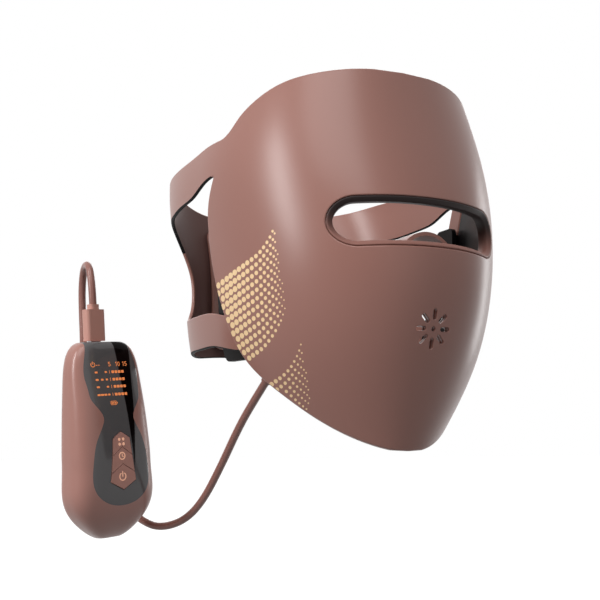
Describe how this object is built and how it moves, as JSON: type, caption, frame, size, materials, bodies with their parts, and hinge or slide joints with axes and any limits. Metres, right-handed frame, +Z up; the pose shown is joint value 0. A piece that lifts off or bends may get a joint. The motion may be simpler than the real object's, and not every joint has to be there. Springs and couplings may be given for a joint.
{
  "type": "led face mask with head straps and hand controller",
  "caption": "Light therapy face mask with a long eye slot, wrap-around head straps that fold open, and a corded hand controller with a window and push buttons that unplugs.",
  "frame": {"origin": "middle of the head space at the height of the eye slot, on the line of the widest point by the ears", "axes": "-Y the way the face looks, +Z up, +X toward the wearer's left"},
  "size_m": [0.2275, 0.2148, 0.2505],
  "materials": {
    "face_silicone": "satin",
    "lining": "smoked gloss",
    "flex": "satin",
    "led_bead": "gloss",
    "slot_rim": "gloss",
    "nose_flap": "satin",
    "anchor": "satin",
    "pod": "matte",
    "board": "satin",
    "cord_skin": "satin",
    "plug_skin": "satin",
    "contact_metal": "satin",
    "case": "satin",
    "window_gloss": "high gloss",
    "button_cap": "satin",
    "spacer": "matte",
    "cell": "satin",
    "pad": "woven loops"
  },
  "bodies": {
    "mask": {"face_shell": "face_silicone", "inner_lens": "lining", "flex_circuit": "flex", "led_beads": "led_bead", "eye_slot_rim": "slot_rim", "nose_rest": "nose_flap", "side_anchor_right": "anchor", "side_anchor_left": "anchor", "connector_pod": "pod", "connector_board": "board", "strain_relief": "cord_skin", "nape_tab_right": "face_silicone", "nape_tab_left": "face_silicone", "cord": "cord_skin", "plug_overmould": "plug_skin", "plug_nub": "cord_skin", "plug_tip": "contact_metal"},
    "right_strap": {"strap_right": "face_silicone", "loop_pad": "pad"},
    "left_strap": {"strap_left": "face_silicone", "hook_pad": "pad"},
    "controller": {"controller_front": "case", "controller_back": "case", "window": "window_gloss", "button_board": "board", "switch_domes": "contact_metal", "display_board": "board", "display_leds": "led_bead", "main_board": "board", "board_spacers": "spacer", "battery": "cell", "output_socket": "contact_metal", "charge_socket": "contact_metal", "case_screws": "contact_metal"},
    "mode_key": {"mode_button": "button_cap"},
    "timer_key": {"timer_button": "button_cap"},
    "power_key": {"power_button": "button_cap"}
  },
  "joints": [
    {"name": "right_strap_hinge", "type": "hinge", "parent": "mask", "child": "right_strap", "pos_m": [-0.0826, -0.0175, 0.034], "axis": [-0.1317, 0, 0.9913], "range_deg": [0, 22]},
    {"name": "left_strap_hinge", "type": "hinge", "parent": "mask", "child": "left_strap", "pos_m": [0.0826, -0.0175, 0.034], "axis": [-0.1317, 0, -0.9913], "range_deg": [0, 11]},
    {"name": "controller_unplug", "type": "slide", "parent": "mask", "child": "controller", "axis": [0.0746, 0.0242, -0.9969], "range_m": [0, 0.012]},
    {"name": "mode_press", "type": "slide", "parent": "controller", "child": "mode_key", "axis": [-0.309, 0.9511, 0], "range_m": [0, 0.0005], "stiffness_N_per_m": 1500, "springref_m": -0.0003},
    {"name": "timer_press", "type": "slide", "parent": "controller", "child": "timer_key", "axis": [-0.309, 0.9511, 0], "range_m": [0, 0.0005], "stiffness_N_per_m": 1500, "springref_m": -0.0003},
    {"name": "power_press", "type": "slide", "parent": "controller", "child": "power_key", "axis": [-0.309, 0.9511, 0], "range_m": [0, 0.0005], "stiffness_N_per_m": 1500, "springref_m": -0.0003}
  ],
  "couplings": [
    {"joint": "left_strap_hinge", "follows": "right_strap_hinge", "ratio": 0.5}
  ]
}
